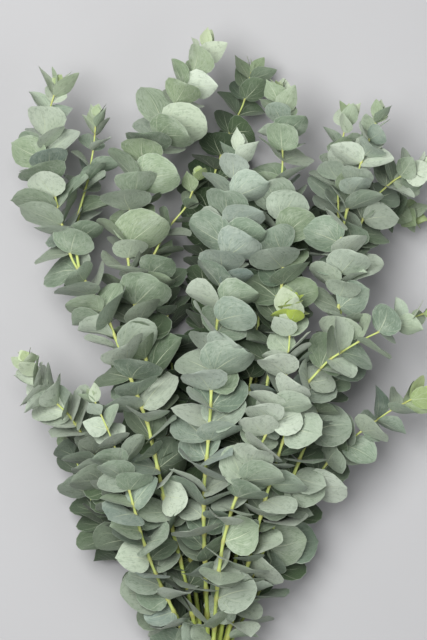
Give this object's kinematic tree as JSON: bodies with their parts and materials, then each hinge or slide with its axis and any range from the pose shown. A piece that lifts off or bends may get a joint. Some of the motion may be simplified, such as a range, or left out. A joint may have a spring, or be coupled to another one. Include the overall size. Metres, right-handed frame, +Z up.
{
  "type": "bunch of eucalyptus branches",
  "caption": "Cut eucalyptus branches with round silver-green leaves, gathered in a rubber band and lying on a table, fanning out from the stems to the tips",
  "frame": {"origin": "bottom centre of the bounding box, on the surface that the bunch lies on", "axes": "+Y runs from the cut ends of the stems to the tips, +X is to the right seen from above with the tips away, +Z is up"},
  "size_m": [0.446, 0.8174, 0.185],
  "materials": {
    "foliage": "matt, with a waxy bloom",
    "band": "matt"
  },
  "bodies": {
    "root": {"branch_centre_front": "foliage", "branch_right_front": "foliage", "branch_left_front": "foliage", "branch_left_arch": "foliage", "branch_right_twig": "foliage", "branch_low_left": "foliage", "branch_top_left": "foliage", "branch_top_right": "foliage", "branch_right": "foliage", "branch_middle": "foliage", "branch_low_right": "foliage", "branch_back_left": "foliage", "branch_outer_left": "foliage", "branch_top_middle": "foliage", "branch_right_arch": "foliage", "rubber_band": "band"}
  },
  "joints": []
}
